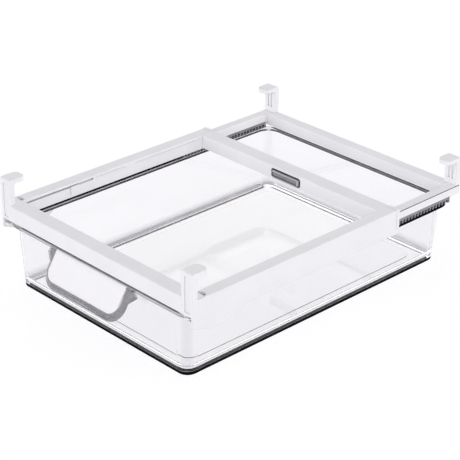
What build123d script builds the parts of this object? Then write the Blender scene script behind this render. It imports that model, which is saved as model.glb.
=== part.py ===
"""Hanging refrigerator drawer: a clear bin that slides under a frame of adjustable depth.

The white frame is in two mouldings. The rear one telescopes in the front one and is held by a
latch in the front frame's crossbar. Four hooks hang the frame from a shelf, and the rim of the
clear bin runs in the front frame's side rails.

+X is to the right of a person who faces the drawer, -Y is towards that person and +Z is up.
The origin is on the underside of the bin, midway across the frame and midway along the whole
length, pull flap included. The functions return pieces that are placed about the middle of the
frame's depth, and the last step moves them all to the origin.
"""
from build123d import *
from math import atan, cos, degrees, pi, sin
import os

os.makedirs("parts", exist_ok=True)

# ---- driving dimensions, mm ------------------------------------------------------------------
FRAME_WIDTH = 300.0          # across the front frame
FRAME_DEPTH = 397.0          # front face to rear face, at the setting drawn
FRAME_TOP = 95.0             # top face above the underside of the bin
FRONT_LENGTH = 295.0         # front frame alone, along Y
WALL = 2.0                   # usual wall of the white mouldings
SLIDE_GAP = 0.3              # running gap between parts that slide

# front frame
TOP_PLATE = 3.0              # thickness of the top face
RAIL_WIDTH = 14.7            # top face of a side rail
SKIRT_DEPTH = 28.0           # outer wall of a side rail, from the top face
INNER_WALL = 1.6
INNER_WALL_DEPTH = 16.8
LEDGE_INNER = 141.2          # the ledge that carries the bin's rim starts at this X
LEDGE_TOP = 70.9
LEDGE_THICKNESS = 2.0
EDGE_ROUND = 1.2
BAR_WIDTH = 18.0             # front bar along Y
BAR_HEIGHT = 18.0
RIB_COUNT = 7                # stiffening ribs inside the front bar and the rear bar
RIB_THICKNESS = 1.2
CROSSBAR_FRONT = 78.0        # Y of the crossbar's front face
CROSSBAR_WALL = 1.8
CROSSBAR_TOP = 2.2
CROSSBAR_HEIGHT = 16.0
COLLAR_LENGTH = 4.0          # raised band at the open end of each rail
COLLAR_RISE = 0.6
BELLY_START = 65.8           # lower edge of the skirt where it meets the front face
BELLY_LOW = 56.6             # the skirt dips to this height
BELLY_LOW_Y = -174.0
BELLY_BACK = 58.8
BELLY_BACK_Y = -142.0
BELLY_END_Y = -127.0
BELLY_ROUND = 5.0
SLOT_FRONT_Y = -176.5        # slot of the travel stop, in the inner wall
SLOT_REAR_Y = -85.0
SLOT_HEIGHT = 2.1
GROOVE_DEPTH = 0.4
GROOVE_HEIGHT = 0.9
GROOVES_Y = ((-82.0, -38.9), (-24.0, 74.0))

# hooks
HOOK_HEIGHT = 29.0           # from the frame's top face to the top of the lip
HOOK_WIDTH = 16.0
POST_THICKNESS = 6.5
LIP_LENGTH = 22.0            # from the post's outer face to the lip's tip
LIP_THICKNESS = 5.0
LIP_END_ROUND = 6.5
HOOK_ROUND = 2.5
POST_RECESS = (7.5, 1.2)     # width and depth of the recess in a post's outer face
POST_RECESS_ROUND = 1.5
POST_RECESS_MARGIN = 3.0     # from its ends to the lip and to the foot of the bar
POST_GROOVE = (2.4, 1.2)     # width and depth of the two grooves in a post's inner face
POST_GROOVE_X = 2.4          # from the post's middle to the middle of a groove
MOULD_HOLE_ROUND = 5.5       # the hole in the plate below each lip

# rear frame
REAR_DROP = 3.5              # its top face lies this far under the front frame's
REAR_RAIL_DEPTH = 9.8        # outer and inner wall of a rear rail
REAR_PLATE = 2.0
REAR_RAIL_WALL = 1.8
REAR_RAIL_FRONT_Y = -117.0
REAR_BAR_WIDTH = 13.1
REAR_BAR_HEIGHT = 14.0
REAR_END_HEIGHT = 11.0       # the bar's ends, outside the rails, hang less deep
REAR_GROOVE_DROP = 0.7       # shadow groove along the outer faces, below the top edge
REAR_GROOVE_HEIGHT = 0.8
REAR_GROOVE_DEPTH = 0.5
STOP_LENGTH = 11.0           # travel stop at the front end of a rear rail
STOP_HEAD = 1.1
STOP_HEAD_DROP = 9.6

# racks
RACK_FRONT_Y = 50.0
RACK_REAR_Y = 183.5
RACK_HEIGHT = 7.2            # strip that shows under the rear rail
RACK_TONGUE = 5.0            # tongue pressed into the rail
RACK_FIT = 0.1
TOOTH_PITCH = 5.0
TOOTH_GAP = 2.6
TOOTH_DEPTH = 3.6
TOOTH_FLARE = 0.4            # each side of a gap opens by this much towards its mouth

# bin
BIN_HEIGHT = 74.0
BIN_BASE = (266.0, 375.0)
BIN_BASE_ROUND = 13.0
BIN_SPREAD = 5.0             # each wall stands out this much more at the mouth than at the base
BIN_Y = -3.5                 # middle of the bin's length
BIN_WALL = 2.5
BIN_FLOOR = 4.6
FLOOR_FILLET = 10.0
BASE_EDGE = 1.6
FOOT_WIDTH = 7.0             # ring that the bin stands on
FOOT_HEIGHT = 2.0
PANEL_INSET = 17.0           # raised panel of the floor, inside the wall
PANEL_RISE = 0.8
RIM_WIDTH = 293.6            # flange that runs in the rails
RIM_DEPTH = 388.6
RIM_THICKNESS = 2.8
RIM_ROUND = 20.0

# pull flap on the bin's front: a slanted face with a lip round it that turns out and back
FLAP_HALF = 56.0
FLAP_ROOT_HALF = 64.0        # the face flares to this where it joins the rim
FLAP_FLARE = (64.0, 71.0)    # heights between which it flares
FLAP_TOP = 73.4
FLAP_KNEE = 46.0             # height of the face's foot
FLAP_REACH = 217.6           # distance of its foot in front of the origin
FLAP_SILL = 4.2              # flat top between the rim's front and the face
FLAP_WALL = 2.6
FLAP_LIP_OUT = 6.4
FLAP_LIP_BACK = 4.4
FLAP_CORNER = 13.0
FLAP_FLARE_ROUND = 9.0

# release button and its latch
BUTTON_WIDTH = 44.0
BUTTON_HEIGHT = 10.6
BUTTON_CENTRE_Z = 86.35
BUTTON_ROUND = 3.0
BUTTON_EDGE = 0.5
BUTTON_PROUD = 0.4           # its flange stands out this much from the crossbar
BUTTON_SHELL = 1.8
BUTTON_DEPTH = 4.8
PAD_INSET = 1.8              # raised pad on the flange, which the finger presses
PAD_RISE = 2.4
PAD_EDGE = 1.1               # width of the edge round the pad's dish
DISH_DEPTH = 0.7
DOT_RADIUS = 1.0
BUTTON_EAR = 2.4             # ears behind the wall keep the button in
BUTTON_STROKE = 3.0
TONGUE_HALF = 13.0           # cam tongue behind the button
TONGUE_BOTTOM = 84.2
TONGUE_THICKNESS = 2.2
TONGUE_REAR_Y = 91.4
PIN_RADIUS = 1.2
PIN_X = 8.0                  # pin of each latch rod, at rest
PIN_Y = 88.8
PIN_HEIGHT = 3.4
CAM_GAP = 0.3
PEG_SIDE = 1.9               # square pegs on the button that hold the springs
PEG_LENGTH = 2.0
ROD_WIDTH = 5.0
ROD_BOTTOM = 80.9
ROD_THICKNESS = 2.6
ROD_INNER_X = 4.5
ROD_LEG_X = 129.0
ROD_LEG_THICKNESS = 4.6
ROD_ELBOW_ROUND = 2.0
PAWL_TIP_X = 137.3
PAWL_WIDTH = 2.0
PAWL_BOTTOM = 74.9
PAWL_HEIGHT = 2.8
PAWL_CHAMFER = 0.8
SPRING_X = 17.0
SPRING_Z = 87.0
SPRING_RADIUS = 2.1
SPRING_WIRE = 0.35
SPRING_END = 0.4             # the wire's middle starts this far from what it presses on
SPRING_TURNS = 6
SPRING_STEPS = 10            # straight steps that make up one turn
COVER_HALF = 125.0
COVER_THICKNESS = 1.4
COVER_BOSS = 3.4             # height of the thick places round the screws
SCREW_X = (40.0, 112.0)
SCREW_Y = 82.9
SCREW_RADIUS = 1.0
SCREW_HEAD_RADIUS = 2.1
SCREW_HEAD = 1.3
SCREW_LENGTH = 8.0           # under the head
SCREW_SLOT = (2.6, 0.6, 0.6)     # length, width and depth of each arm of the cross slot
SCREW_CLEARANCE = 0.25
SEAT_CLEARANCE = 0.2
SEAT_DEPTH = SCREW_HEAD + 0.4    # the heads lie below the cover's face
BOSS_SIDE = 4.6              # the square bosses that the screws go up into
BOSS_TOP_GAP = 1.0           # bosses end this far inside the top plate
COVER_BOSS_SIDE = 5.8

# ---- places worked out from them -------------------------------------------------------------
HALF = FRAME_WIDTH / 2
FRONT_Y = -FRAME_DEPTH / 2
REAR_Y = FRAME_DEPTH / 2
FRONT_END_Y = FRONT_Y + FRONT_LENGTH
RAIL_INNER = HALF - RAIL_WIDTH
SKIRT_INNER = HALF - WALL
SKIRT_BOTTOM = FRAME_TOP - SKIRT_DEPTH
PLATE_BOTTOM = FRAME_TOP - TOP_PLATE
INNER_BOTTOM = FRAME_TOP - INNER_WALL_DEPTH
BAR_REAR_Y = FRONT_Y + BAR_WIDTH
CROSSBAR_BOTTOM = FRAME_TOP - CROSSBAR_HEIGHT
HOOK_TOP = FRAME_TOP + HOOK_HEIGHT
REAR_TOP = FRAME_TOP - REAR_DROP
REAR_OUTER = SKIRT_INNER - SLIDE_GAP
REAR_INNER = RAIL_INNER + INNER_WALL + SLIDE_GAP
REAR_RAIL_BOTTOM = REAR_TOP - REAR_RAIL_DEPTH
RACK_TOP = REAR_RAIL_BOTTOM - RACK_FIT
RACK_BOTTOM = RACK_TOP - RACK_HEIGHT
BUTTON_FACE_Y = CROSSBAR_FRONT - BUTTON_PROUD
CROSSBAR_INSIDE_Y = (CROSSBAR_FRONT + CROSSBAR_WALL, FRONT_END_Y - CROSSBAR_WALL)
TOUCH = 0.01                 # small overlap of joined forms, and tolerance for finding a corner
TO_ORIGIN_Y = (FLAP_REACH - REAR_Y) / 2


# ---- small helpers ---------------------------------------------------------------------------
def block(x, y, z):
    """A rectangular block between pairs of X, Y and Z."""
    size = (x[1] - x[0], y[1] - y[0], z[1] - z[0])
    return Pos((x[0] + x[1]) / 2, (y[0] + y[1]) / 2, (z[0] + z[1]) / 2) * Box(*size)


def section(points):
    """A flat section from its corners, left where the corners are."""
    return Polygon(*points, align=None)


def rounded(flat, corners, radius):
    """Round those corners of a flat section that lie at the given points."""
    places = [Vector(*corner) for corner in corners]
    picked = [v for v in flat.vertices() if any((Vector(v) - p).length < TOUCH for p in places)]
    return fillet(picked, radius)


def along_y(flat, y_start, y_end):
    """Run an XZ section from one Y to another."""
    return extrude(Pos(0, y_start, 0) * (Plane.XZ * flat), amount=y_end - y_start, dir=(0, 1, 0))


def along_x(flat, x_start, x_end):
    """Run a YZ section from one X to another."""
    return extrude(Pos(x_start, 0, 0) * (Plane.YZ * flat), amount=x_end - x_start, dir=(1, 0, 0))


def both_sides(right):
    """A right-hand form and its mirror image on the left."""
    return right + mirror(right, Plane.YZ)


def ribs_across(half_width, y, z):
    """Evenly spaced upright ribs inside a bar that runs along X."""
    pitch = 2 * half_width / (RIB_COUNT + 1)
    places = [-half_width + i * pitch for i in range(1, RIB_COUNT + 1)]
    return [block((x - RIB_THICKNESS / 2, x + RIB_THICKNESS / 2), y, z) for x in places]


def inverted_channel(y, z, walls, top):
    """The YZ section of a bar that is open below."""
    points = [
        (y[0], z[0]), (y[0], z[1]), (y[1], z[1]), (y[1], z[0]), (y[1] - walls, z[0]),
        (y[1] - walls, z[1] - top), (y[0] + walls, z[1] - top), (y[0] + walls, z[0]),
    ]
    return rounded(section(points), [(y[0], z[1]), (y[1], z[1])], EDGE_ROUND)


# ---- hooks -----------------------------------------------------------------------------------
def hook(outer_x, outer_y, direction, root_z):
    """One right-hand hook. direction is +1 where the lip points to +Y and -1 to -Y."""
    inner_y = outer_y + direction * POST_THICKNESS
    tip_y = outer_y + direction * LIP_LENGTH
    lip_bottom = HOOK_TOP - LIP_THICKNESS
    profile = section([
        (outer_y, root_z), (outer_y, HOOK_TOP), (tip_y, HOOK_TOP), (tip_y, lip_bottom),
        (inner_y, lip_bottom), (inner_y, root_z),
    ])
    profile = rounded(profile, [(outer_y, HOOK_TOP), (inner_y, lip_bottom)], HOOK_ROUND)
    profile = rounded(profile, [(tip_y, HOOK_TOP), (tip_y, lip_bottom)], LIP_THICKNESS / 4)
    solid = along_x(profile, outer_x - HOOK_WIDTH, outer_x)
    centre_x = outer_x - HOOK_WIDTH / 2
    # the lip is round ended seen from above
    near = outer_y - direction * LIP_END_ROUND
    outline = Pos(centre_x, (near + tip_y) / 2) * RectangleRounded(
        HOOK_WIDTH, abs(tip_y - near), LIP_END_ROUND)
    solid &= Pos(0, 0, root_z) * extrude(outline, amount=HOOK_TOP - root_z)
    # two grooves in the inner face leave a rib between them
    width, depth = POST_GROOVE
    z = (FRAME_TOP + POST_RECESS_MARGIN, lip_bottom - POST_RECESS_MARGIN)
    for side in (-1, 1):
        solid -= sunk_slot(centre_x + side * POST_GROOVE_X, inner_y, z, width, depth)
    return solid


def sunk_slot(x, face_y, z, width, depth):
    """A cutter for an upright round-cornered slot, sunk by depth on both sides of a Y plane."""
    outline = Plane.XZ * RectangleRounded(width, z[1] - z[0], min(POST_RECESS_ROUND, width / 2 - TOUCH))
    return Pos(x, face_y, sum(z) / 2) * extrude(outline, depth, both=True)


def post_recess(outer_x, outer_y, bar_bottom):
    """The cutter of the recess in the outer face of a right-hand post and of the bar below it."""
    width, depth = POST_RECESS
    z = (bar_bottom + POST_RECESS_MARGIN, HOOK_TOP - LIP_THICKNESS)
    return sunk_slot(outer_x - HOOK_WIDTH / 2, outer_y, z, width, depth)


# ---- front frame -----------------------------------------------------------------------------
def front_rail():
    """The right-hand rail: top plate, inner wall, skirt with its belly, and the bin's ledge."""
    arch = section([
        (SKIRT_INNER, SKIRT_BOTTOM + WALL), (HALF, SKIRT_BOTTOM + WALL), (HALF, FRAME_TOP),
        (RAIL_INNER, FRAME_TOP), (RAIL_INNER, INNER_BOTTOM),
        (RAIL_INNER + INNER_WALL, INNER_BOTTOM), (RAIL_INNER + INNER_WALL, PLATE_BOTTOM),
        (SKIRT_INNER, PLATE_BOTTOM),
    ])
    arch = rounded(arch, [(HALF, FRAME_TOP), (RAIL_INNER, FRAME_TOP)], EDGE_ROUND)
    rail = along_y(arch, FRONT_Y, FRONT_END_Y)

    # the skirt hangs lower behind the front corner
    outline = section([
        (FRONT_Y, FRAME_TOP - SKIRT_DEPTH / 2), (FRONT_Y, BELLY_START),
        (BELLY_LOW_Y, BELLY_LOW), (BELLY_BACK_Y, BELLY_BACK), (BELLY_END_Y, SKIRT_BOTTOM),
        (FRONT_END_Y, SKIRT_BOTTOM), (FRONT_END_Y, FRAME_TOP - SKIRT_DEPTH / 2),
    ])
    low_corners = [(BELLY_LOW_Y, BELLY_LOW), (BELLY_BACK_Y, BELLY_BACK), (BELLY_END_Y, SKIRT_BOTTOM)]
    outline = rounded(outline, low_corners, BELLY_ROUND)
    outline = rounded(outline, [(FRONT_END_Y, SKIRT_BOTTOM)], BELLY_ROUND)
    rail += along_x(outline, SKIRT_INNER, HALF)

    ledge_y = (FRONT_Y + WALL, FRONT_END_Y - BELLY_ROUND)
    ledge = block((LEDGE_INNER, HALF - WALL / 2), ledge_y, (LEDGE_TOP - LEDGE_THICKNESS, LEDGE_TOP))
    rail += ledge

    collar = section([
        (HALF - WALL, SKIRT_BOTTOM + BELLY_ROUND), (HALF + COLLAR_RISE, SKIRT_BOTTOM + BELLY_ROUND),
        (HALF + COLLAR_RISE, FRAME_TOP + COLLAR_RISE), (RAIL_INNER + WALL, FRAME_TOP + COLLAR_RISE),
        (RAIL_INNER + WALL, PLATE_BOTTOM + WALL / 2), (HALF - WALL, PLATE_BOTTOM + WALL / 2),
    ])
    collar = rounded(collar, [(HALF + COLLAR_RISE, FRAME_TOP + COLLAR_RISE)], EDGE_ROUND)
    rail += along_y(collar, FRONT_END_Y - COLLAR_LENGTH, FRONT_END_Y)

    # slot that the rear frame's travel stop runs in, and the shallow grooves that continue it
    through_wall = (RAIL_INNER - WALL, RAIL_INNER + INNER_WALL + TOUCH)
    rail -= block(through_wall, (SLOT_FRONT_Y, SLOT_REAR_Y), (PLATE_BOTTOM - SLOT_HEIGHT, PLATE_BOTTOM))
    for groove_y in GROOVES_Y:
        rail -= block((RAIL_INNER - WALL, RAIL_INNER + GROOVE_DEPTH), groove_y,
                      (PLATE_BOTTOM - GROOVE_HEIGHT, PLATE_BOTTOM))

    # round-ended hole that lets the mould shape the underside of the lip
    hole_x = (RAIL_INNER + INNER_WALL, SKIRT_INNER)
    hole_y = (FRONT_Y + POST_THICKNESS, FRONT_Y + LIP_LENGTH + 2 * SLIDE_GAP)
    hole_size = (hole_x[1] - hole_x[0], hole_y[1] - hole_y[0] + MOULD_HOLE_ROUND)
    hole = Pos(sum(hole_x) / 2, hole_y[1] - hole_size[1] / 2) * RectangleRounded(
        *hole_size, MOULD_HOLE_ROUND - TOUCH)
    cutter = Pos(0, 0, PLATE_BOTTOM - TOUCH) * extrude(hole, amount=TOP_PLATE + 2 * TOUCH)
    cutter &= block(hole_x, hole_y, (PLATE_BOTTOM - WALL, FRAME_TOP + WALL))
    return rail - cutter


def front_bar():
    """The bar that faces the user: open below, with cross ribs."""
    bar = along_x(
        inverted_channel((FRONT_Y, BAR_REAR_Y), (FRAME_TOP - BAR_HEIGHT, FRAME_TOP), WALL, TOP_PLATE),
        -HALF + TOUCH, HALF - TOUCH)
    return bar + ribs_across(RAIL_INNER, (FRONT_Y + WALL / 2, BAR_REAR_Y - WALL / 2),
                             (FRAME_TOP - BAR_HEIGHT + WALL, PLATE_BOTTOM + WALL / 2))


def crossbar():
    """The rear crossbar of the front frame, which houses the latch."""
    y = (CROSSBAR_FRONT, FRONT_END_Y)
    bar = along_x(inverted_channel(y, (CROSSBAR_BOTTOM, FRAME_TOP), CROSSBAR_WALL, CROSSBAR_TOP),
                  -RAIL_INNER - INNER_WALL / 2, RAIL_INNER + INNER_WALL / 2)
    opening = Plane.XZ * RectangleRounded(BUTTON_WIDTH + 2 * SLIDE_GAP, BUTTON_HEIGHT + 2 * SLIDE_GAP,
                                          BUTTON_ROUND)
    bar -= Pos(0, CROSSBAR_FRONT, BUTTON_CENTRE_Z) * extrude(opening, CROSSBAR_WALL + TOUCH, both=True)
    boss_foot = CROSSBAR_BOTTOM + COVER_BOSS + RACK_FIT
    for x in screw_places():
        boss = Pos(x, SCREW_Y, boss_foot) * extrude(
            Rectangle(BOSS_SIDE, BOSS_SIDE), FRAME_TOP - BOSS_TOP_GAP - boss_foot)
        pilot = Pos(x, SCREW_Y, boss_foot) * extrude(Circle(SCREW_RADIUS + RACK_FIT), SCREW_LENGTH)
        bar = bar + boss - pilot
    return bar


def front_frame():
    frame = front_bar() + crossbar() + both_sides(front_rail())
    frame += both_sides(hook(HALF, FRONT_Y, 1, PLATE_BOTTOM))
    return frame - both_sides(post_recess(HALF, FRONT_Y, FRAME_TOP - BAR_HEIGHT))


# ---- rear frame ------------------------------------------------------------------------------
def rear_rail():
    """The right-hand rail that telescopes in the front frame, with its travel stop."""
    arch = section([
        (REAR_OUTER, REAR_RAIL_BOTTOM), (REAR_OUTER, REAR_TOP), (REAR_INNER, REAR_TOP),
        (REAR_INNER, REAR_RAIL_BOTTOM), (REAR_INNER + REAR_RAIL_WALL, REAR_RAIL_BOTTOM),
        (REAR_INNER + REAR_RAIL_WALL, REAR_TOP - REAR_PLATE),
        (REAR_OUTER - REAR_RAIL_WALL, REAR_TOP - REAR_PLATE),
        (REAR_OUTER - REAR_RAIL_WALL, REAR_RAIL_BOTTOM),
    ])
    arch = rounded(arch, [(REAR_OUTER, REAR_TOP), (REAR_INNER, REAR_TOP)], EDGE_ROUND / 2)
    rail = along_y(arch, REAR_RAIL_FRONT_Y, REAR_Y - WALL)
    stop_y = (REAR_RAIL_FRONT_Y, REAR_RAIL_FRONT_Y + STOP_LENGTH)
    neck_z = (PLATE_BOTTOM - SLOT_HEIGHT + SLIDE_GAP, REAR_TOP - SLIDE_GAP)
    head_x = (RAIL_INNER - SLIDE_GAP - STOP_HEAD, RAIL_INNER - SLIDE_GAP)
    rail += block((head_x[0], REAR_INNER + REAR_RAIL_WALL / 2), stop_y, neck_z)
    rail += block(head_x, stop_y, (neck_z[1] - STOP_HEAD_DROP, neck_z[1]))
    return rail


def rear_frame():
    bar_y = (REAR_Y - REAR_BAR_WIDTH, REAR_Y)
    bar_z = (REAR_TOP - REAR_BAR_HEIGHT, REAR_TOP)
    frame = along_x(inverted_channel(bar_y, bar_z, WALL, REAR_PLATE), -REAR_OUTER, REAR_OUTER)
    frame += ribs_across(REAR_INNER, (bar_y[0] + WALL / 2, bar_y[1] - WALL / 2),
                         (bar_z[0] + WALL, bar_z[1] - WALL / 2))
    end_bottom = REAR_TOP - REAR_END_HEIGHT
    frame -= both_sides(block((REAR_INNER + REAR_RAIL_WALL, HALF), (bar_y[0] - WALL, REAR_Y + WALL),
                              (bar_z[0] - WALL, end_bottom)))
    end_cap = block((REAR_OUTER - WALL, REAR_OUTER), bar_y, (end_bottom, REAR_TOP - EDGE_ROUND))
    frame += both_sides(rear_rail() + end_cap)
    frame += both_sides(hook(REAR_OUTER, REAR_Y, -1, REAR_TOP - REAR_PLATE))
    frame -= both_sides(post_recess(REAR_OUTER, REAR_Y, end_bottom))
    groove_top = REAR_TOP - REAR_GROOVE_DROP
    groove = block((REAR_OUTER - REAR_GROOVE_DEPTH, HALF), (REAR_RAIL_FRONT_Y - WALL, REAR_Y + WALL),
                   (groove_top - REAR_GROOVE_HEIGHT, groove_top))
    return frame - both_sides(groove)


def rack():
    """The right-hand toothed strip: its tongue is pressed up into the rear rail."""
    tongue_x = (REAR_INNER + REAR_RAIL_WALL + RACK_FIT, REAR_OUTER - REAR_RAIL_WALL - RACK_FIT)
    strip_x = (REAR_INNER + SLIDE_GAP + RACK_FIT, REAR_OUTER - SLIDE_GAP - RACK_FIT)
    profile = section([
        (tongue_x[0], RACK_TOP + RACK_TONGUE), (tongue_x[1], RACK_TOP + RACK_TONGUE),
        (tongue_x[1], RACK_TOP), (strip_x[1], RACK_TOP), (strip_x[1], RACK_BOTTOM),
        (strip_x[0], RACK_BOTTOM), (strip_x[0], RACK_TOP), (tongue_x[0], RACK_TOP),
    ])
    strip = along_y(profile, RACK_FRONT_Y, RACK_REAR_Y)
    # tapered gaps, one centred on the pawl
    half_foot = TOOTH_GAP / 2 + TOOTH_FLARE
    half_head = TOOTH_GAP / 2
    gap = section([
        (-half_foot, RACK_BOTTOM - WALL), (half_foot, RACK_BOTTOM - WALL),
        (half_foot, RACK_BOTTOM), (half_head, RACK_BOTTOM + TOOTH_DEPTH),
        (-half_head, RACK_BOTTOM + TOOTH_DEPTH), (-half_foot, RACK_BOTTOM),
    ])
    cutter = along_x(gap, strip_x[0] - WALL, strip_x[1] + WALL)
    first = -int((PIN_Y - RACK_FRONT_Y) // TOOTH_PITCH)
    last = int((RACK_REAR_Y - PIN_Y - TOOTH_GAP) // TOOTH_PITCH)
    gaps = [Pos(0, PIN_Y + i * TOOTH_PITCH, 0) * cutter for i in range(first + 1, last + 1)]
    return strip - gaps


# ---- bin -------------------------------------------------------------------------------------
def tapered_tub(inset, base_z):
    """The bin's outside, or its inside where inset is the wall."""
    size = [side - 2 * inset for side in BIN_BASE]
    base = Pos(0, BIN_Y, base_z) * RectangleRounded(*size, BIN_BASE_ROUND - inset)
    draft = degrees(atan(BIN_SPREAD / BIN_HEIGHT))
    return extrude(base, amount=BIN_HEIGHT - base_z, taper=-draft)


def foot_edges(tub):
    return tub.faces().sort_by(Axis.Z)[0].edges()


def pull_flap():
    """A slanted flap in front of the rim, like a shallow tray that is open towards the bin."""
    rim_y = BIN_Y - BIN_BASE[1] / 2 - BIN_SPREAD
    face_top_y = rim_y - FLAP_SILL
    rise = FLAP_TOP - FLAP_KNEE
    lean = face_top_y + FLAP_REACH
    slope = (rise ** 2 + lean ** 2) ** 0.5
    inwards = Vector(0, rise, -lean) / slope
    face = Plane(origin=(0, -FLAP_REACH, FLAP_KNEE), x_dir=(-1, 0, 0), z_dir=inwards)

    flare = [(z - FLAP_KNEE) * slope / rise for z in FLAP_FLARE]
    corners = [(FLAP_HALF, 0), (FLAP_HALF, flare[0]), (FLAP_ROOT_HALF, flare[1]), (FLAP_ROOT_HALF, slope)]
    outline = section(corners + [(-x, v) for x, v in reversed(corners)])
    outline = rounded(outline, [(side * FLAP_HALF, 0) for side in (1, -1)], FLAP_CORNER)
    outline = rounded(outline, [(side * FLAP_HALF, flare[0]) for side in (1, -1)], FLAP_FLARE_ROUND)
    turn = degrees(atan(FLAP_LIP_OUT / FLAP_LIP_BACK))
    tray = extrude(face * outline, amount=FLAP_LIP_BACK, taper=-turn)
    tray -= Pos(*(inwards * FLAP_WALL)) * tray
    sill = block((-FLAP_ROOT_HALF, FLAP_ROOT_HALF), (face_top_y, rim_y + BIN_WALL / 2),
                 (BIN_HEIGHT - RIM_THICKNESS, BIN_HEIGHT))
    below_rim = block((-HALF, HALF), (-FLAP_REACH - BAR_WIDTH, rim_y), (0, BIN_HEIGHT))
    return (tray & below_rim) + sill


def clear_bin():
    rim = Pos(0, BIN_Y, BIN_HEIGHT - RIM_THICKNESS) * extrude(
        RectangleRounded(RIM_WIDTH, RIM_DEPTH, RIM_ROUND), amount=RIM_THICKNESS)
    outside = tapered_tub(0, 0)
    outside = chamfer(foot_edges(outside), BASE_EDGE) + rim + pull_flap()
    inside = tapered_tub(BIN_WALL, BIN_FLOOR)
    tub = outside - fillet(foot_edges(inside), FLOOR_FILLET)

    panel_size = [side - 2 * (BIN_WALL + PANEL_INSET) for side in BIN_BASE]
    panel = Pos(0, BIN_Y, BIN_FLOOR - TOUCH) * extrude(
        RectangleRounded(*panel_size, BIN_BASE_ROUND), amount=TOUCH + PANEL_RISE)
    hollow_size = [side - 2 * FOOT_WIDTH for side in BIN_BASE]
    hollow = Pos(0, BIN_Y, 0) * extrude(
        RectangleRounded(*hollow_size, BIN_BASE_ROUND - WALL), amount=FOOT_HEIGHT)
    return tub + panel - hollow


# ---- release button and latch ----------------------------------------------------------------
def screw_places():
    return [side * x for side in (-1, 1) for x in SCREW_X]


def release_button():
    """A hollow button with a raised pad, ears that keep it in, and a cam tongue behind it."""
    outline = RectangleRounded(BUTTON_WIDTH, BUTTON_HEIGHT, BUTTON_ROUND)
    inside = RectangleRounded(BUTTON_WIDTH - 2 * BUTTON_SHELL, BUTTON_HEIGHT - 2 * BUTTON_SHELL,
                              BUTTON_ROUND - BUTTON_SHELL / 2)
    rear_y = BUTTON_FACE_Y + BUTTON_DEPTH
    shell = along_y(outline, BUTTON_FACE_Y, rear_y)
    shell -= along_y(inside, BUTTON_FACE_Y + BUTTON_SHELL, rear_y + TOUCH)
    pad_size = (BUTTON_WIDTH - 2 * PAD_INSET, BUTTON_HEIGHT - 2 * PAD_INSET)
    pad_face_y = BUTTON_FACE_Y - PAD_RISE
    pad = along_y(RectangleRounded(*pad_size, BUTTON_ROUND - PAD_INSET / 2), pad_face_y,
                  BUTTON_FACE_Y + TOUCH)
    pad = chamfer(pad.faces().sort_by(Axis.Y)[0].edges(), BUTTON_EDGE)
    dish = RectangleRounded(*[side - 2 * PAD_EDGE for side in pad_size], BUTTON_ROUND / 2)
    pad -= along_y(dish, pad_face_y - TOUCH, pad_face_y + DISH_DEPTH)
    pad += along_y(Circle(DOT_RADIUS), pad_face_y + DISH_DEPTH / 3, pad_face_y + PAD_RISE)
    shell += pad
    ear_y = (CROSSBAR_INSIDE_Y[0] + SLIDE_GAP / 2, rear_y)
    ear_x = (BUTTON_WIDTH / 2 - BUTTON_SHELL, BUTTON_WIDTH / 2 + BUTTON_EAR)
    shell += both_sides(block(ear_x, ear_y, (-BUTTON_HEIGHT / 4, BUTTON_HEIGHT / 4)))
    button = Pos(0, 0, BUTTON_CENTRE_Z) * shell

    tongue_z = (TONGUE_BOTTOM, TONGUE_BOTTOM + TONGUE_THICKNESS)
    tongue = block((-TONGUE_HALF, TONGUE_HALF), (BUTTON_FACE_Y + BUTTON_SHELL - TOUCH, TONGUE_REAR_Y),
                   tongue_z)
    slot = SlotCenterToCenter(BUTTON_STROKE * 2 ** 0.5, 2 * (PIN_RADIUS + CAM_GAP))
    middle = BUTTON_STROKE / 2
    for side in (-1, 1):
        place = Pos(side * (PIN_X - middle), PIN_Y - middle, tongue_z[0] - TOUCH)
        slanted = place * Rot(0, 0, side * 45) * slot
        tongue -= extrude(slanted, amount=TONGUE_THICKNESS + 2 * TOUCH)
    back_y = BUTTON_FACE_Y + BUTTON_SHELL
    peg = Pos(SPRING_X, 0, SPRING_Z) * along_y(Rectangle(PEG_SIDE, PEG_SIDE), back_y - TOUCH,
                                               back_y + PEG_LENGTH)
    return button + tongue + both_sides(peg)


def latch_rod():
    """The right-hand rod: cam pin at its inner end, leg and pawl at its outer end."""
    rod_y = (PIN_Y - ROD_WIDTH / 2, PIN_Y + ROD_WIDTH / 2)
    rod_top = ROD_BOTTOM + ROD_THICKNESS
    leg_outer = ROD_LEG_X + ROD_LEG_THICKNESS
    side_view = section([
        (ROD_INNER_X, ROD_BOTTOM), (ROD_LEG_X, ROD_BOTTOM), (ROD_LEG_X, PAWL_BOTTOM),
        (leg_outer, PAWL_BOTTOM), (leg_outer, rod_top), (ROD_INNER_X, rod_top),
    ])
    side_view = rounded(side_view, [(leg_outer, rod_top)], ROD_ELBOW_ROUND)
    rod = along_y(side_view, *rod_y)
    pin = Pos(PIN_X, PIN_Y, rod_top - TOUCH) * extrude(Circle(PIN_RADIUS), amount=PIN_HEIGHT)
    pawl_top = PAWL_BOTTOM + PAWL_HEIGHT
    pawl_y = (PIN_Y - PAWL_WIDTH / 2, PIN_Y + PAWL_WIDTH / 2)
    pawl_root = ROD_LEG_X + ROD_LEG_THICKNESS / 2
    tip = section([
        (pawl_root, PAWL_BOTTOM), (PAWL_TIP_X - PAWL_CHAMFER, PAWL_BOTTOM),
        (PAWL_TIP_X, PAWL_BOTTOM + PAWL_CHAMFER), (PAWL_TIP_X, pawl_top), (pawl_root, pawl_top),
    ])
    return rod + pin + along_y(tip, *pawl_y)


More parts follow.
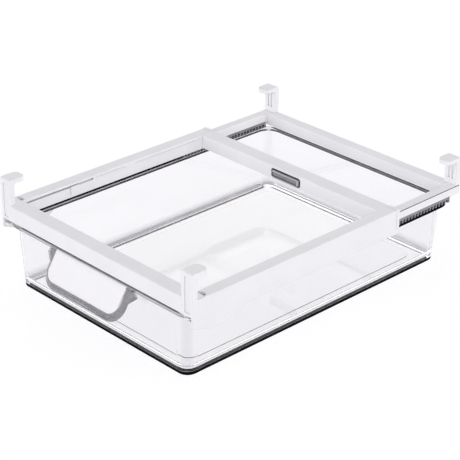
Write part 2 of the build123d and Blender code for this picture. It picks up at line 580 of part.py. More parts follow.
def button_spring():
    """The right-hand return spring, between the button and the crossbar's rear wall."""
    start = BUTTON_FACE_Y + BUTTON_SHELL + SPRING_END
    length = CROSSBAR_INSIDE_Y[1] - SPRING_END - start
    steps = SPRING_TURNS * SPRING_STEPS
    angles = [2 * pi * i / SPRING_STEPS for i in range(steps + 1)]
    coil = Polyline(*[(SPRING_RADIUS * cos(a), SPRING_RADIUS * sin(a), length * i / steps)
                      for i, a in enumerate(angles)])
    section_plane = Plane(origin=coil @ 0, z_dir=coil % 0)
    wire = sweep(section_plane * RegularPolygon(SPRING_WIRE, 6), path=coil, transition=Transition.RIGHT)
    return Pos(SPRING_X, start, SPRING_Z) * Rot(-90, 0, 0) * wire


def crossbar_cover():
    """The plate that closes the crossbar from below, thicker round its screws."""
    y = (CROSSBAR_INSIDE_Y[0] + RACK_FIT, CROSSBAR_INSIDE_Y[1] - RACK_FIT)
    plate = block((-COVER_HALF, COVER_HALF), y, (CROSSBAR_BOTTOM, CROSSBAR_BOTTOM + COVER_THICKNESS))
    foot = CROSSBAR_BOTTOM
    for x in screw_places():
        boss = Pos(x, SCREW_Y, foot) * extrude(Rectangle(COVER_BOSS_SIDE, COVER_BOSS_SIDE),
                                               amount=COVER_BOSS)
        seat = Pos(x, SCREW_Y, foot) * extrude(
            Circle(SCREW_HEAD_RADIUS + SEAT_CLEARANCE), amount=SEAT_DEPTH)
        hole = Pos(x, SCREW_Y, foot) * extrude(
            Circle(SCREW_RADIUS + SCREW_CLEARANCE), amount=COVER_BOSS)
        plate = plate + boss - seat - hole
    return plate


def cover_screws():
    """The four cover screws, as separate solids."""
    length, width, depth = SCREW_SLOT
    head = Pos(0, 0, -SCREW_HEAD) * extrude(Circle(SCREW_HEAD_RADIUS), amount=SCREW_HEAD)
    slots = Pos(0, 0, -SCREW_HEAD) * (Box(length, width, 2 * depth) + Box(width, length, 2 * depth))
    screw = head + extrude(Circle(SCREW_RADIUS), amount=SCREW_LENGTH) - slots
    places = [Pos(x, SCREW_Y, CROSSBAR_BOTTOM + SEAT_DEPTH) for x in screw_places()]
    return Compound(children=[(place * screw).solid() for place in places])


# ---- the whole -------------------------------------------------------------------------------
def on_the_left(right):
    return mirror(right, Plane.YZ)


PIECES = {
    "front_frame": front_frame(),
    "rear_frame": rear_frame(),
    "rack_right": rack(),
    "rack_left": on_the_left(rack()),
    "bin": clear_bin(),
    "release_button": release_button(),
    "latch_rod_right": latch_rod(),
    "latch_rod_left": on_the_left(latch_rod()),
    "button_spring_right": button_spring(),
    "button_spring_left": on_the_left(button_spring()),
    "crossbar_cover": crossbar_cover(),
    "cover_screws": cover_screws(),
}

for name, shape in PIECES.items():
    export_step(Pos(0, TO_ORIGIN_Y, 0) * shape, f"parts/{name}.step")
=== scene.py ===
"""Looks of the hanging refrigerator drawer: camera, light, finishes and the finer small pieces."""
from math import pi, radians

import bpy
from mathutils import Matrix, Vector


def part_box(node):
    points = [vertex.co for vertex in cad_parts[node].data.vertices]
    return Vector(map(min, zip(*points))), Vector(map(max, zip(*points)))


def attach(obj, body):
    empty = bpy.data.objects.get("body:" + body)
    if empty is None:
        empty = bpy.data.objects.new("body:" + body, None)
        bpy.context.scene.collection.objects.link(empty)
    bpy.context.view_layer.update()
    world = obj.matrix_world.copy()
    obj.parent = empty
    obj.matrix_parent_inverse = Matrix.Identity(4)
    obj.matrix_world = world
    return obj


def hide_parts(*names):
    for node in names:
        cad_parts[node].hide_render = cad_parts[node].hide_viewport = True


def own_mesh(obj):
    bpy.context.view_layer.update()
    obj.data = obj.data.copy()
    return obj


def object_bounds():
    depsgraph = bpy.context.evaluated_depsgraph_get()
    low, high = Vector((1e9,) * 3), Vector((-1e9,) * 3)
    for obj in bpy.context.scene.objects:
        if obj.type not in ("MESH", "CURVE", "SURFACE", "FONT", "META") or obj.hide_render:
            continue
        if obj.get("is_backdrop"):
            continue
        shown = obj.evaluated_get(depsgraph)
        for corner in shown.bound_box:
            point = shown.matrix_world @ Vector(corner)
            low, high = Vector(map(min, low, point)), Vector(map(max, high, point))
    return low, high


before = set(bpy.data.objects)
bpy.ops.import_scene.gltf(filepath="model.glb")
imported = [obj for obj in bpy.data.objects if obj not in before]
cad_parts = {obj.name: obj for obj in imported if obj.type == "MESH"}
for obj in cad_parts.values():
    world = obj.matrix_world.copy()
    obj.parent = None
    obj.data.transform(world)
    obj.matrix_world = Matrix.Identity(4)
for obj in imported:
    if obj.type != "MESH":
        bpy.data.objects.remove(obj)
cad_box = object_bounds()
bpy.ops.object.select_all(action="DESELECT")

MM = 0.001


def colour(red, green=None, blue=None):
    """A colour as a shader's socket takes it. One number alone makes a grey."""
    return (red, red if green is None else green, red if blue is None else blue, 1.0)


# camera, as the photograph was taken
CAMERA_PLACE = Vector((1.1469, -1.0958, 0.8476))
CAMERA_AZIMUTH = radians(46.208)
CAMERA_ELEVATION = radians(26.657)
CAMERA_ROLL = radians(0.426)
CAMERA_LENS = 128.27
CAMERA_SHIFT = 0.00109
CAMERA_REACH = 50.0                 # nothing farther off is drawn

# light. A fade gives how far up a direction points where one colour ends and the next is whole
SKY_HORIZON = colour(1.90, 1.89, 1.92)
SKY_ZENITH = colour(0.52, 0.52, 0.53)
SKY_FADE = (0.0, 0.85)
GLOSS_HORIZON = colour(0.95)        # what gloss and clear edges find at the horizon
GLOSS_ZENITH = colour(0.05)         # and overhead
GLOSS_FADE = (0.3, 0.75)
FLOOR_HALF = 6.0
FLOOR_COLOUR = colour(0.90)
FLOOR_LIFT = 0.29                   # added where the floor is looked at, so that it comes out white
FLOOR_LIFT_THROUGH = 0.30           # the same where it is seen through clear plastic

# the bin, where its painted shade and its frosting change. From here on a fade gives where a change is nil
# and where whole
FADE = 0.8 * MM                     # width in which one zone turns into the next
BASE_HALF_X = 133.0 * MM
BASE_HALF_Y = 187.5 * MM
BASE_ROUND = 13.0 * MM
SPREAD = 5.0 / 74.0                 # how much each wall leans outwards for its height
BASE_DARK = 4.8 * MM                # height of the painted dark line along the foot
BASE_DARK_UNDER = 3.0 * MM          # how far it reaches in under the base
FILLET_TOP = 14.0 * MM              # the floor's soft corner ends at this height
FLOOR_TINT_FADE = (7.0 * MM, 8.0 * MM)      # the floor, below this, has no tint of its own
CORNER_FADE = (0.05, 0.4)
RIM_TO_MIDDLE = 194.3 * MM          # from the rim's rear edge to the middle of the bin
RIM_BOTTOM = 71.2 * MM
RIM_DARK_X = 139.2 * MM             # the flange is painted dark beyond these, as shade in the gap under the rails
RIM_DARK_Y = 192.6 * MM
RIM_DARK_FRONT = 0.5                # how much of that painted shade the front edge has
FLAP_FADE = (-188.8 * MM, -189.3 * MM)      # the flap lies in front of this
FLAP_HALF = 56.0 * MM
FLAP_KNEE = 46.0 * MM
FLAP_CORNER = 13.0 * MM
FLAP_SLOPE = 1.19                   # length along the slanted face for each unit of height
LIP_WIDTH = 1.4 * MM

# clear plastic: what it lets through, darkened as painted shade in some zones, and its own body
CLEAR_FLOOR = colour(1.0, 0.995, 1.0)
CLEAR_WALL = colour(0.93, 0.925, 0.942)
CLEAR_GRAZING_SHADE = colour(0.42, 0.42, 0.46)    # painted shade where it is looked along, through its whole thickness
# painted shade down the upright corners
CLEAR_CORNER_SHADE = colour(0.84, 0.835, 0.86)
# painted shade along the floor's soft corner
CLEAR_HEEL_SHADE = colour(0.70, 0.69, 0.72)
# painted shade along the foot
CLEAR_FOOT_SHADE = colour(0.55, 0.54, 0.57)
# painted shade on the flap's lip
CLEAR_LIP_SHADE = colour(0.30, 0.30, 0.315)
# painted shade on the flange in the gap under the rails
CLEAR_RIM_SHADE = colour(0.03, 0.03, 0.034)
FROSTED_WHITE = colour(0.96, 0.95, 0.97)
# painted shade in the foot and the rim
PAINTED_DARK = colour(0.006, 0.005, 0.007)
FROSTED_SHARE = 0.85                # how much of the flap's face is frosted
DARK_SHARE_INSIDE = 0.25            # how much painted shade is left where light leaves through a dark edge

# white plastic
WHITE_SHADE = colour(0.865, 0.858, 0.882)
WHITE_LIGHT = colour(0.895, 0.888, 0.908)
# painted highlight along every edge
PAINTED_EDGE_HIGHLIGHT = colour(0.965, 0.962, 0.975)
# painted shade in narrow gaps and grooves
PAINTED_CREVICE_SHADE = colour(0.26, 0.25, 0.28)
EDGE_RADIUS = 0.7 * MM
CREVICE = 2.2 * MM                  # gaps and grooves narrower than this get painted shade
CREVICE_FADE = (0.62, 0.25)         # by how much open sky a place has
GROOVE_Z = 90.4 * MM                # the groove along the rear frame's outer faces, where a shadow is painted
GROOVE_HALF = 0.6 * MM
GROOVE_X_FADE = (147.0 * MM, 147.1 * MM)
# painted shadow in the rear frame's groove
PAINTED_GROOVE_SHADOW = colour(0.03)

# grey plastics
BUTTON_DARK = colour(0.25, 0.25, 0.26)
BUTTON_LIGHT = colour(0.31, 0.31, 0.32)
# painted highlight on the pad's brim
BUTTON_BRIM_HIGHLIGHT = colour(0.55, 0.55, 0.56)
# painted shade along the button's edge and round its pad
BUTTON_LINE_SHADE = colour(0.02, 0.02, 0.022)
RACK_DARK = colour(0.20, 0.20, 0.21)
RACK_LIGHT = colour(0.30, 0.30, 0.31)
# painted shade between the teeth
RACK_GAP_SHADE = colour(0.03)
LATCH_DARK = colour(0.62, 0.62, 0.60)
LATCH_LIGHT = colour(0.68, 0.68, 0.66)

# steel
STEEL_DARK = colour(0.42, 0.42, 0.43)
STEEL_LIGHT = colour(0.60, 0.60, 0.61)

# the button, about its middle, and the rings of its painted shade and highlight by how far they are in from
# its edge
BUTTON_Z = 86.35 * MM
BUTTON_HALF_X = 22.0 * MM
BUTTON_HALF_Z = 5.3 * MM
BUTTON_ROUND = 3.0 * MM
FLANGE_END = (1.8 * MM, 1.5 * MM)
BRIM_START = (1.5 * MM, 1.8 * MM)
BRIM_END = (2.9 * MM, 2.6 * MM)
DISH_LINE_START = (2.7 * MM, 2.9 * MM)
DISH_LINE_END = (3.8 * MM, 3.4 * MM)
FLANGE_SHARE = 0.92

# the teeth of the racks, with painted shade in the gaps between them
TOOTH_PITCH = 5.0 * MM
TOOTH_GAP_Y = 98.35 * MM            # middle of the gap that the latch rods hold
TOOTH_GAP_FADE = (1.8 * MM, 1.4 * MM)       # from the middle of a gap
TOOTH_ROOT_FADE = (78.6 * MM, 78.0 * MM)    # heights

# springs and screws
SPRING_WIRE = 0.35 * MM
SPRING_WIRE_SIDES = 10
SPRING_RADIUS = 2.1 * MM
SPRING_TURNS = 6
SPRING_STEPS = 24
BUTTON_STROKE = 3.0 * MM
SCREW_RADIUS = 1.0 * MM
SCREW_HEAD_RADIUS = 2.1 * MM
SCREW_HEAD = 1.3 * MM
SCREW_HEAD_EDGE = 0.35 * MM
SCREW_PITCH = 0.8 * MM
SCREW_INNER_X = 40.0 * MM
RECESS_LENGTH = 1.3 * SCREW_HEAD_RADIUS
RECESS_WIDTH = 0.32 * SCREW_HEAD_RADIUS
CORE_AT_HEAD = 0.8 * SCREW_RADIUS
CORE_AT_TIP = 0.7 * SCREW_RADIUS
THREAD_PROFILE = 0.24 * SCREW_RADIUS
THREAD_RADIUS = 0.76 * SCREW_RADIUS
THREAD_STEPS = 16


# ---- camera ----------------------------------------------------------------------------------
def add_camera():
    bpy.ops.object.camera_add()
    camera = bpy.context.object
    camera.name = "photo_camera"
    turn = Matrix.Rotation(CAMERA_AZIMUTH, 4, "Z")
    tilt = Matrix.Rotation(pi / 2 - CAMERA_ELEVATION, 4, "X")
    roll = Matrix.Rotation(CAMERA_ROLL, 4, "Z")
    camera.matrix_world = Matrix.Translation(CAMERA_PLACE) @ turn @ tilt @ roll
    camera.data.lens = CAMERA_LENS
    camera.data.shift_x = -CAMERA_SHIFT
    camera.data.shift_y = CAMERA_SHIFT
    camera.data.clip_end = CAMERA_REACH
    bpy.context.scene.camera = camera
    bpy.context.scene.view_settings.view_transform = "Standard"


# ---- shader nodes as expressions -------------------------------------------------------------
class Signal:
    """What a node puts out. Arithmetic on it adds Math nodes."""

    def __init__(self, nodes, socket):
        self.nodes = nodes
        self.socket = socket

    def math(self, operation, *values):
        return self.nodes.add("ShaderNodeMath", {"operation": operation}, dict(enumerate(values)))

    def __add__(self, other):
        return self.math("ADD", self, other)

    def __mul__(self, other):
        return self.math("MULTIPLY", self, other)

    def __sub__(self, other):
        return self.math("SUBTRACT", self, other)

    def __rsub__(self, other):
        return self.math("SUBTRACT", other, self)

    def __truediv__(self, other):
        return self.math("DIVIDE", self, other)

    def __abs__(self):
        return self.math("ABSOLUTE", self)

    def __round__(self):
        return self.math("ROUND", self)

    __radd__ = __add__
    __rmul__ = __mul__

    def larger(self, other):
        return self.math("MAXIMUM", self, other)

    def smaller(self, other):
        return self.math("MINIMUM", self, other)

    def root(self):
        return self.math("SQRT", self)

    def step(self, off_at, on_at):
        """0 up to the first value, 1 past the second, smooth between. Either may be the larger."""
        values = {"Value": self, "From Min": off_at, "From Max": on_at}
        return self.nodes.add("ShaderNodeMapRange", {"interpolation_type": "SMOOTHSTEP"}, values)


class Nodes:
    """The node tree of a material or of the world, filled by one method."""

    def __init__(self, owner):
        self.owner = owner
        owner.use_nodes = True
        self.tree = owner.node_tree
        self.tree.nodes.clear()

    def add(self, kind, settings=None, inputs=None, output=0):
        node = self.tree.nodes.new(kind)
        for name, value in (settings or {}).items():
            setattr(node, name, value)
        for name, value in (inputs or {}).items():
            if isinstance(value, Signal):
                self.tree.links.new(value.socket, node.inputs[name])
            else:
                node.inputs[name].default_value = value
        return Signal(self, node.outputs[output]) if node.outputs else node

    def place(self):
        return self.add("ShaderNodeTexCoord", output="Object")

    def axis(self, name, vector=None):
        return self.add("ShaderNodeSeparateXYZ", inputs={0: vector or self.place()}, output=name)

    def noise(self, scale, detail=2.0, roughness=0.5):
        values = {"Vector": self.place(), "Scale": scale, "Detail": detail, "Roughness": roughness}
        return self.add("ShaderNodeTexNoise", inputs=values)

    def mix(self, factor, first, second):
        """A colour between two, each a colour or a signal. 6, 7 and 2 are its colour sockets."""
        values = {"Factor": factor, 6: first, 7: second}
        return self.add("ShaderNodeMix", {"data_type": "RGBA"}, values, output=2)

    def bump(self, height, strength, distance, normal=None):
        """The surface's own normal, or another one, with this relief."""
        values = {"Height": height, "Strength": strength, "Distance": distance}
        if normal:
            values["Normal"] = normal
        return self.add("ShaderNodeBump", inputs=values, output="Normal")

    def principled(self, values):
        return self.add("ShaderNodeBsdfPrincipled", inputs=values)

    def ray(self, kind):
        return self.add("ShaderNodeLightPath", output=kind)


def start(name):
    return Nodes(bpy.data.materials.new(name))


def finish(nodes, surface):
    nodes.add("ShaderNodeOutputMaterial", inputs={"Surface": surface})
    return nodes.owner


# ---- world and floor -------------------------------------------------------------------------
def light_world():
    """Soft light that is brighter from the sides than from above, seen as plain white."""
    world = bpy.data.worlds.new("studio")
    bpy.context.scene.world = world
    nodes = Nodes(world)
    up = nodes.axis("Z", nodes.add("ShaderNodeTexCoord", output="Generated"))
    light = nodes.mix(up.step(*SKY_FADE), SKY_HORIZON, SKY_ZENITH)
    mirrored = nodes.mix(up.step(*GLOSS_FADE), GLOSS_HORIZON, GLOSS_ZENITH)
    gloss = nodes.ray("Is Glossy Ray").larger(nodes.ray("Is Transmission Ray"))
    unseen = nodes.mix(gloss, light, mirrored)
    shown = nodes.mix(nodes.ray("Is Camera Ray"), unseen, colour(1.0))
    background = nodes.add("ShaderNodeBackground", inputs={"Color": shown})
    nodes.add("ShaderNodeOutputWorld", inputs={"Surface": background})


def add_floor():
    """A pale floor that shows the soft shadow of the object and is otherwise white."""
    bpy.ops.mesh.primitive_plane_add(size=2 * FLOOR_HALF)
    floor = bpy.context.object
    floor.name = "floor"
    nodes = start("pale_floor")
    matt = nodes.add("ShaderNodeBsdfDiffuse", inputs={"Color": FLOOR_COLOUR})
    direct = nodes.ray("Is Camera Ray").larger(nodes.ray("Is Glossy Ray")) * FLOOR_LIFT
    through = nodes.ray("Is Transmission Ray") * FLOOR_LIFT_THROUGH
    lift = nodes.add("ShaderNodeEmission", inputs={"Color": direct.larger(through)})
    both = nodes.add("ShaderNodeAddShader", inputs={0: matt, 1: lift})
    floor.data.materials.append(finish(nodes, both))
    floor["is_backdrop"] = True


# ---- white plastic ---------------------------------------------------------------------------
def soft_edges(nodes, radius):
    """The normal with every edge rounded, and how near to an edge it is, from 0 to 1."""
    rounded = nodes.add("ShaderNodeBevel", {"samples": 8}, {"Radius": radius})
    plain = nodes.add("ShaderNodeNewGeometry", output="Normal")
    along = nodes.add("ShaderNodeVectorMath", {"operation": "DOT_PRODUCT"},
                      {0: rounded, 1: plain}, output="Value")
    return rounded, (1 - along).step(0.01, 0.12)


def crevice_shade(nodes):
    """Where shade is painted: 1 deep in narrow gaps and grooves, 0 on open faces."""
    sky = nodes.add("ShaderNodeAmbientOcclusion", {"samples": 10}, {"Distance": CREVICE}, "AO")
    return sky.step(*CREVICE_FADE)


def rear_groove_shadow(nodes):
    """1 in the groove along the rear frame's outer faces, where its shadow is painted."""
    off = abs(nodes.axis("Z") - GROOVE_Z)
    aside = abs(nodes.axis("X"))
    return off.step(GROOVE_HALF, 0.8 * GROOVE_HALF) * aside.step(*GROOVE_X_FADE)


def white_plastic(name, groove_shadow=False):
    """Moulded white plastic with a satin skin: faint waves, fine grain, edges glossier and painted lighter
    as a highlight, painted shade in narrow gaps, and on request a painted shadow in the rear groove.
    """
    nodes = start(name)
    clouds = nodes.noise(scale=22.0, detail=3.0)
    grain = nodes.noise(scale=1600.0)
    waves = nodes.noise(scale=70.0)
    rounded, edge = soft_edges(nodes, EDGE_RADIUS)
    base = nodes.mix(clouds.step(0.3, 0.7), WHITE_SHADE, WHITE_LIGHT)
    # painted highlight along the edges
    base = nodes.mix(edge, base, PAINTED_EDGE_HIGHLIGHT)
    # painted shade in narrow gaps and grooves, from ambient occlusion
    base = nodes.mix(crevice_shade(nodes), base, PAINTED_CREVICE_SHADE)
    # painted shadow in the rear frame's groove
    if groove_shadow:
        base = nodes.mix(rear_groove_shadow(nodes), base, PAINTED_GROOVE_SHADOW)
    relief = waves * 0.6 + grain * 0.05
    surface = nodes.principled({
        "Base Color": base,
        "Roughness": 0.36 + 0.10 * grain - 0.12 * edge,
        "IOR": 1.49,
        "Normal": nodes.bump(relief, strength=0.25, distance=0.15 * MM, normal=rounded),
    })
    return finish(nodes, surface)


# ---- clear plastic ---------------------------------------------------------------------------
def past_corner(x, y, half_x, half_y, radius):
    """Distance outside a rounded rectangle about the origin, negative inside it."""
    side_x = abs(x) - (half_x - radius)
    side_y = abs(y) - (half_y - radius)
    past_x = side_x.larger(0.0)
    past_y = side_y.larger(0.0)
    inwards = side_x.larger(side_y).smaller(0.0)
    return (past_x * past_x + past_y * past_y).root() + inwards - radius


def bin_zones(nodes):
    """Masks for the bin's foot, heel, upright corners, flap, the flap's lip, the rim and walls."""
    x, y, z = (nodes.axis(letter) for letter in "XYZ")
    across = y - (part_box("bin")[1].y - RIM_TO_MIDDLE)
    outside = past_corner(x, across, BASE_HALF_X, BASE_HALF_Y, BASE_ROUND)

    foot = outside.step(-BASE_DARK_UNDER, FADE - BASE_DARK_UNDER)
    foot = foot * z.step(BASE_DARK + FADE, BASE_DARK)
    heel = outside.step(-FILLET_TOP, -FILLET_TOP / 3) * z.step(FILLET_TOP, FILLET_TOP / 3)

    lean = z * SPREAD
    round_x = (abs(x) - lean - (BASE_HALF_X - BASE_ROUND)).larger(0.0) / BASE_ROUND
    round_y = (abs(across) - lean - (BASE_HALF_Y - BASE_ROUND)).larger(0.0) / BASE_ROUND
    corner = (round_x * round_y).step(*CORNER_FADE)

    flap = y.step(*FLAP_FADE)
    below = ((FLAP_KNEE + FLAP_CORNER / FLAP_SLOPE - z) * FLAP_SLOPE).larger(0.0)
    aside = (abs(x) - (FLAP_HALF - FLAP_CORNER)).larger(0.0)
    from_edge = (below * below + aside * aside).root() - FLAP_CORNER
    lip = flap * from_edge.step(-LIP_WIDTH, FADE - LIP_WIDTH)

    beyond = (abs(x) - RIM_DARK_X).larger(abs(across) - RIM_DARK_Y)
    behind_front = across.step(-RIM_DARK_Y, FADE / 8 - RIM_DARK_Y)
    # painted shade on the flange under the rails, less at the front
    rim = z.step(RIM_BOTTOM - FADE / 2, RIM_BOTTOM) * beyond.step(-FADE / 2, FADE / 4)
    rim = rim * (1 - flap) * (RIM_DARK_FRONT + (1 - RIM_DARK_FRONT) * behind_front)
    wall = z.step(*FLOOR_TINT_FADE)
    return foot, heel, corner, flap, lip, rim, wall


def clear_plastic(name):
    """Crystal clear moulded plastic with painted shade in its thick edges, corners, heel, foot, the flap's
    lip and the rim, and a frosted flap.
    """
    nodes = start(name)
    foot, heel, corner, flap, lip, rim, wall = bin_zones(nodes)
    grazing = nodes.add("ShaderNodeLayerWeight", inputs={"Blend": 0.35}, output="Facing")
    tint = nodes.mix(wall, CLEAR_FLOOR, CLEAR_WALL)
    # painted shade where the plastic is looked along
    tint = nodes.mix(grazing.step(0.5, 1.0), tint, CLEAR_GRAZING_SHADE)
    # painted shade down the upright corners
    tint = nodes.mix(corner, tint, CLEAR_CORNER_SHADE)
    # painted shade along the floor's soft corner
    tint = nodes.mix(heel, tint, CLEAR_HEEL_SHADE)
    # painted shade along the foot
    tint = nodes.mix(foot, tint, CLEAR_FOOT_SHADE)
    # painted shade on the flap's lip
    tint = nodes.mix(lip, tint, CLEAR_LIP_SHADE)
    # painted shade on the flange under the rails
    tint = nodes.mix(rim, tint, CLEAR_RIM_SHADE)
    flow = nodes.noise(scale=9.0)
    ripple = nodes.noise(scale=45.0)
    face = flap * (1 - lip)
    glass = nodes.principled({
        "Base Color": tint,
        "Roughness": 0.02 + 0.25 * face,
        "IOR": 1.49,
        "Transmission Weight": 1.0,
        "Normal": nodes.bump(ripple + flow, strength=0.12, distance=0.2 * MM),
    })
    # painted shade: the foot and the rim turn dark, less so where light leaves the plastic
    dark = foot.larger(rim)
    body = nodes.principled({
        "Base Color": nodes.mix(dark, FROSTED_WHITE, PAINTED_DARK),
        "Roughness": 0.4,
        "IOR": 1.002,
    })
    leaving = nodes.add("ShaderNodeNewGeometry", output="Backfacing")
    darkened = dark * (1 - (1 - DARK_SHARE_INSIDE) * leaving)
    share = (face * FROSTED_SHARE).larger(darkened)
    solid = nodes.add("ShaderNodeMixShader", inputs={0: share, 1: glass, 2: body})
    through = nodes.add("ShaderNodeBsdfTransparent", inputs={"Color": colour(1.0)})
    soft_light = nodes.ray("Is Shadow Ray").larger(nodes.ray("Is Diffuse Ray"))
    surface = nodes.add("ShaderNodeMixShader", inputs={0: soft_light, 1: solid, 2: through})
    return finish(nodes, surface)


# ---- grey plastics and steel -----------------------------------------------------------------
def clouded(nodes, dark, light):
    """A colour that drifts a little between two."""
    return nodes.mix(nodes.noise(scale=60.0, detail=3.0).step(0.25, 0.75), dark, light)


def spark_grained(nodes, base, roughness):
    """Matt plastic of this colour with a fine spark-eroded grain."""
    grain = nodes.noise(scale=2600.0)
    surface = nodes.principled({
        "Base Color": base,
        "Roughness": roughness + 0.12 * grain,
        "Normal": nodes.bump(grain, strength=0.3, distance=0.08 * MM),
    })
    return finish(nodes, surface)


def button_plastic(name):
    """The button's grey: painted shade round its pad and along its own edge, a painted highlight on the
    pad's brim.
    """
    nodes = start(name)
    x, z = nodes.axis("X"), nodes.axis("Z")
    inside = 0 - past_corner(x, z - BUTTON_Z, BUTTON_HALF_X, BUTTON_HALF_Z, BUTTON_ROUND)
    flange = inside.step(*FLANGE_END)
    brim = inside.step(*BRIM_START) * inside.step(*BRIM_END)
    dish_line = inside.step(*DISH_LINE_START) * inside.step(*DISH_LINE_END)
    base = clouded(nodes, BUTTON_DARK, BUTTON_LIGHT)
    # painted highlight on the pad's brim
    base = nodes.mix(brim, base, BUTTON_BRIM_HIGHLIGHT)
    # painted shade along its edge and round the pad's dish
    base = nodes.mix((flange * FLANGE_SHARE).larger(dish_line), base, BUTTON_LINE_SHADE)
    return spark_grained(nodes, base, roughness=0.38)


def rack_plastic(name):
    """The racks' grey, with painted shade between the teeth."""
    nodes = start(name)
    along = (nodes.axis("Y") - TOOTH_GAP_Y) / TOOTH_PITCH
    from_gap = abs(along - round(along)) * TOOTH_PITCH
    gap = from_gap.step(*TOOTH_GAP_FADE) * nodes.axis("Z").step(*TOOTH_ROOT_FADE)
    # painted shade at the roots of the gaps between the teeth
    base = nodes.mix(gap, clouded(nodes, RACK_DARK, RACK_LIGHT), RACK_GAP_SHADE)
    return spark_grained(nodes, base, roughness=0.42)


def latch_plastic(name):
    """The pale plastic of the latch rods."""
    nodes = start(name)
    return spark_grained(nodes, clouded(nodes, LATCH_DARK, LATCH_LIGHT), roughness=0.42)


def steel(name, roughness):
    """Bright drawn steel with faint streaks."""
    nodes = start(name)
    streaks = nodes.noise(scale=900.0, detail=4.0, roughness=0.7)
    surface = nodes.principled({
        "Base Color": nodes.mix(streaks.step(0.3, 0.8), STEEL_DARK, STEEL_LIGHT),
        "Metallic": 1.0,
        "Roughness": roughness + 0.15 * streaks,
    })
    return finish(nodes, surface)


def dress(material, *names):
    """Give the named CAD nodes this finish."""
    for name in names:
        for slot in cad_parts[name].material_slots:
            slot.material = material


# ---- tools for new pieces --------------------------------------------------------------------
def only(piece):
    """Select this piece alone."""
    bpy.ops.object.select_all(action="DESELECT")
    piece.select_set(True)
    bpy.context.view_layer.objects.active = piece


def apply_place():
    """Put the selected piece's place, turn and size into its mesh."""
    bpy.ops.object.transform_apply(location=True, rotation=True, scale=True)


def settle(piece, turn, place):
    """Turn and move a finished piece, and put that into its mesh."""
    only(piece)
    piece.rotation_euler = turn
    piece.location = place
    apply_place()
    return piece


def apply_modifiers(piece):
    only(piece)
    for modifier in list(piece.modifiers):
        bpy.ops.object.modifier_apply(modifier=modifier.name)


def join(first, *others):
    """One piece from several."""
    only(first)
    for other in others:
        other.select_set(True)
    bpy.ops.object.join()
    return bpy.context.object


def soften_edges(piece, width):
    """The small rounding of a turned or moulded edge."""
    bevel = piece.modifiers.new("edges", "BEVEL")
    bevel.width = width
    bevel.segments = 2
    bevel.limit_method = "ANGLE"
    bevel.angle_limit = radians(40)
    apply_modifiers(piece)


def close_ends(piece):
    """Cap the open ends of a wound piece and turn its faces outwards."""
    only(piece)
    bpy.ops.object.mode_set(mode="EDIT")
    bpy.ops.mesh.select_all(action="SELECT")
    bpy.ops.mesh.remove_doubles(threshold=0.001 * MM)
    bpy.ops.mesh.select_all(action="DESELECT")
    bpy.ops.mesh.select_non_manifold()
    bpy.ops.mesh.fill_holes(sides=0)
    bpy.ops.mesh.select_all(action="SELECT")
    bpy.ops.mesh.normals_make_consistent(inside=False)
    bpy.ops.object.mode_set(mode="OBJECT")


def wound(name, profile_radius, corners, radius, pitch, turns, steps):
    """A profile with this many corners wound about Z, from Z 0 upwards."""
    bpy.ops.mesh.primitive_circle_add(vertices=corners, radius=profile_radius, fill_type="NOTHING",
                                      rotation=(pi / 2, 0, 0), location=(radius, 0, 0))
    piece = bpy.context.object
    piece.name = name
    apply_place()
    winding = piece.modifiers.new("winding", "SCREW")
    winding.screw_offset = pitch
    winding.iterations = turns
    winding.steps = steps
    winding.render_steps = steps
    apply_modifiers(piece)
    close_ends(piece)
    return piece


# ---- springs and screws ----------------------------------------------------------------------
def add_spring(side, material):
    """A coil in place of the CAD node's plain one, which is hidden."""
    node = "button_spring_" + side
    low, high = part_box(node)
    middle = (low + high) / 2
    length = high.y - low.y - 2 * SPRING_WIRE
    piece = wound("coil_spring_" + side, SPRING_WIRE, SPRING_WIRE_SIDES, SPRING_RADIUS,
                  length / SPRING_TURNS, SPRING_TURNS, SPRING_STEPS)
    settle(piece, (-pi / 2, 0, 0), (middle.x, low.y + SPRING_WIRE, middle.z))
    bpy.ops.object.shade_smooth()
    piece.data.materials.append(material)
    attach(piece, "front_frame")
    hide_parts(node)
    middle.x
    high.y
    middle.z
    1 - BUTTON_STROKE / (high.y - low.y)
    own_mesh(piece)


def screw_head():
    """A round head from Z 0 upwards, with a cross recess in its underside."""
    bpy.ops.mesh.primitive_cylinder_add(vertices=40, radius=SCREW_HEAD_RADIUS, depth=SCREW_HEAD,
                                        location=(0, 0, SCREW_HEAD / 2))
    head = bpy.context.object
    soften_edges(head, SCREW_HEAD_EDGE)
    for turn in (0, pi / 2):
        bpy.ops.mesh.primitive_cube_add(size=1.0, rotation=(0, 0, turn))
        cutter = bpy.context.object
        cutter.scale = (RECESS_LENGTH, RECESS_WIDTH, SCREW_HEAD)
        head.modifiers.new("recess", "BOOLEAN").object = cutter
        apply_modifiers(head)
        bpy.data.objects.remove(cutter)
    return head


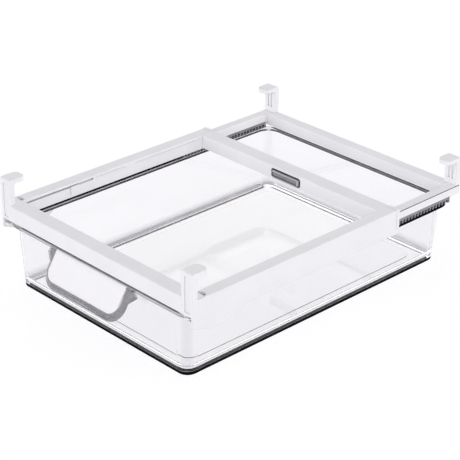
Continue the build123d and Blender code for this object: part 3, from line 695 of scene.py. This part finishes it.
def screw_core(length):
    """The tapering core of a screw, above its head."""
    bpy.ops.object.select_all(action="DESELECT")
    bpy.ops.mesh.primitive_cone_add(vertices=24, radius1=CORE_AT_HEAD, radius2=CORE_AT_TIP,
                                    depth=length, location=(0, 0, SCREW_HEAD + length / 2))
    return bpy.context.object


def screw_thread(length):
    """The thread, three-cornered in section, round that core."""
    turns = int(length / SCREW_PITCH) - 1
    thread = wound("thread", THREAD_PROFILE, 3, THREAD_RADIUS, SCREW_PITCH, turns, THREAD_STEPS)
    return settle(thread, (0, 0, 0), (0, 0, SCREW_HEAD + SCREW_PITCH / 2))


def add_screws(material):
    """Four self-tapping screws with a cross recess, modelled once and copied."""
    low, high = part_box("cover_screws")
    length = high.z - low.z - SCREW_HEAD
    screw = join(screw_head(), screw_core(length), screw_thread(length))
    apply_place()

    middle_y = (low.y + high.y) / 2
    outer_x = high.x - SCREW_HEAD_RADIUS
    copies = []
    for x in (-outer_x, -SCREW_INNER_X, SCREW_INNER_X, outer_x):
        only(screw)
        bpy.ops.object.duplicate()
        # each screw stops at a turn of its own
        copies.append(settle(bpy.context.object, (0, 0, x / outer_x), (x, middle_y, low.z)))
    bpy.data.objects.remove(screw)
    piece = join(*copies)
    piece.name = "cross_screws"
    bpy.ops.object.shade_smooth_by_angle(angle=radians(35))
    piece.data.materials.append(material)
    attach(piece, "front_frame")
    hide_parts("cover_screws")


# ---- the scene -------------------------------------------------------------------------------
add_camera()
light_world()
add_floor()

dress(white_plastic("moulded_white"), "front_frame", "crossbar_cover")
dress(white_plastic("moulded_white_rear", groove_shadow=True), "rear_frame")
dress(button_plastic("button_grey"), "release_button")
dress(clear_plastic("crystal_clear"), "bin")
dress(rack_plastic("rack_grey"), "rack_right", "rack_left")
dress(latch_plastic("latch_white"), "latch_rod_right", "latch_rod_left")

spring_wire = steel("spring_wire", roughness=0.2)
for side in ("right", "left"):
    add_spring(side, spring_wire)
add_screws(steel("screw_metal", roughness=0.25))

sizes = {"cad": [list(corner) for corner in cad_box], "visual": [list(corner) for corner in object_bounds()]}
